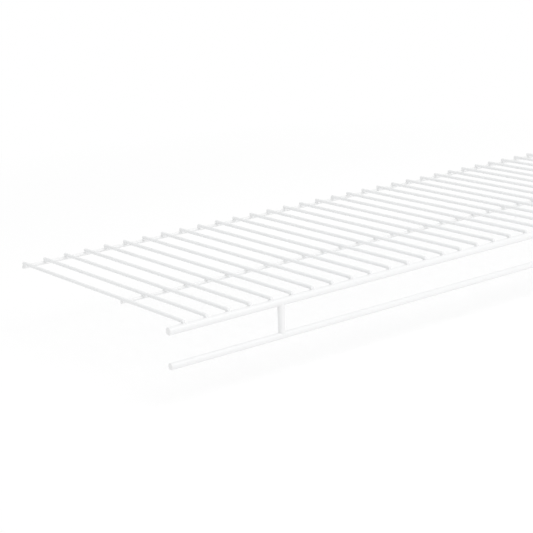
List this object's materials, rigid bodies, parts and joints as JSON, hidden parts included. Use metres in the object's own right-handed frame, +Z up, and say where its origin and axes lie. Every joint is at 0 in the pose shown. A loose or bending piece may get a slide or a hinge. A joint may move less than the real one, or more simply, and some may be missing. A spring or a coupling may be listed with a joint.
{
  "type": "wire shelf with hanging rod",
  "caption": "White wire closet shelf: thin deck wires welded across front, middle and back rails, with a clothes rod on short struts under the front rail.",
  "frame": {"origin": "middle of the back rail's axis, the line that wall clips hold", "axes": "+X along the shelf, +Y from the front edge to the wall, +Z up"},
  "size_m": [1.2192, 0.3048, 0.0457],
  "materials": {
    "deck_coat": "satin white powder coat on the thin deck wires",
    "rail_coat": "semi-gloss white powder coat on the rails, the rod and the struts"
  },
  "bodies": {
    "root": {"deck_wire_01": "deck_coat", "deck_wire_02": "deck_coat", "deck_wire_03": "deck_coat", "deck_wire_04": "deck_coat", "deck_wire_05": "deck_coat", "deck_wire_06": "deck_coat", "deck_wire_07": "deck_coat", "deck_wire_08": "deck_coat", "deck_wire_09": "deck_coat", "deck_wire_10": "deck_coat", "deck_wire_11": "deck_coat", "deck_wire_12": "deck_coat", "deck_wire_13": "deck_coat", "deck_wire_14": "deck_coat", "deck_wire_15": "deck_coat", "deck_wire_16": "deck_coat", "deck_wire_17": "deck_coat", "deck_wire_18": "deck_coat", "deck_wire_19": "deck_coat", "deck_wire_20": "deck_coat", "deck_wire_21": "deck_coat", "deck_wire_22": "deck_coat", "deck_wire_23": "deck_coat", "deck_wire_24": "deck_coat", "deck_wire_25": "deck_coat", "deck_wire_26": "deck_coat", "deck_wire_27": "deck_coat", "deck_wire_28": "deck_coat", "deck_wire_29": "deck_coat", "deck_wire_30": "deck_coat", "deck_wire_31": "deck_coat", "deck_wire_32": "deck_coat", "deck_wire_33": "deck_coat", "deck_wire_34": "deck_coat", "deck_wire_35": "deck_coat", "deck_wire_36": "deck_coat", "deck_wire_37": "deck_coat", "deck_wire_38": "deck_coat", "deck_wire_39": "deck_coat", "deck_wire_40": "deck_coat", "deck_wire_41": "deck_coat", "deck_wire_42": "deck_coat", "deck_wire_43": "deck_coat", "deck_wire_44": "deck_coat", "deck_wire_45": "deck_coat", "deck_wire_46": "deck_coat", "deck_wire_47": "deck_coat", "front_rail": "rail_coat", "middle_rail": "rail_coat", "back_rail": "rail_coat", "hanging_rod": "rail_coat", "rod_strut_1": "rail_coat", "rod_strut_2": "rail_coat", "rod_strut_3": "rail_coat"}
  },
  "joints": []
}
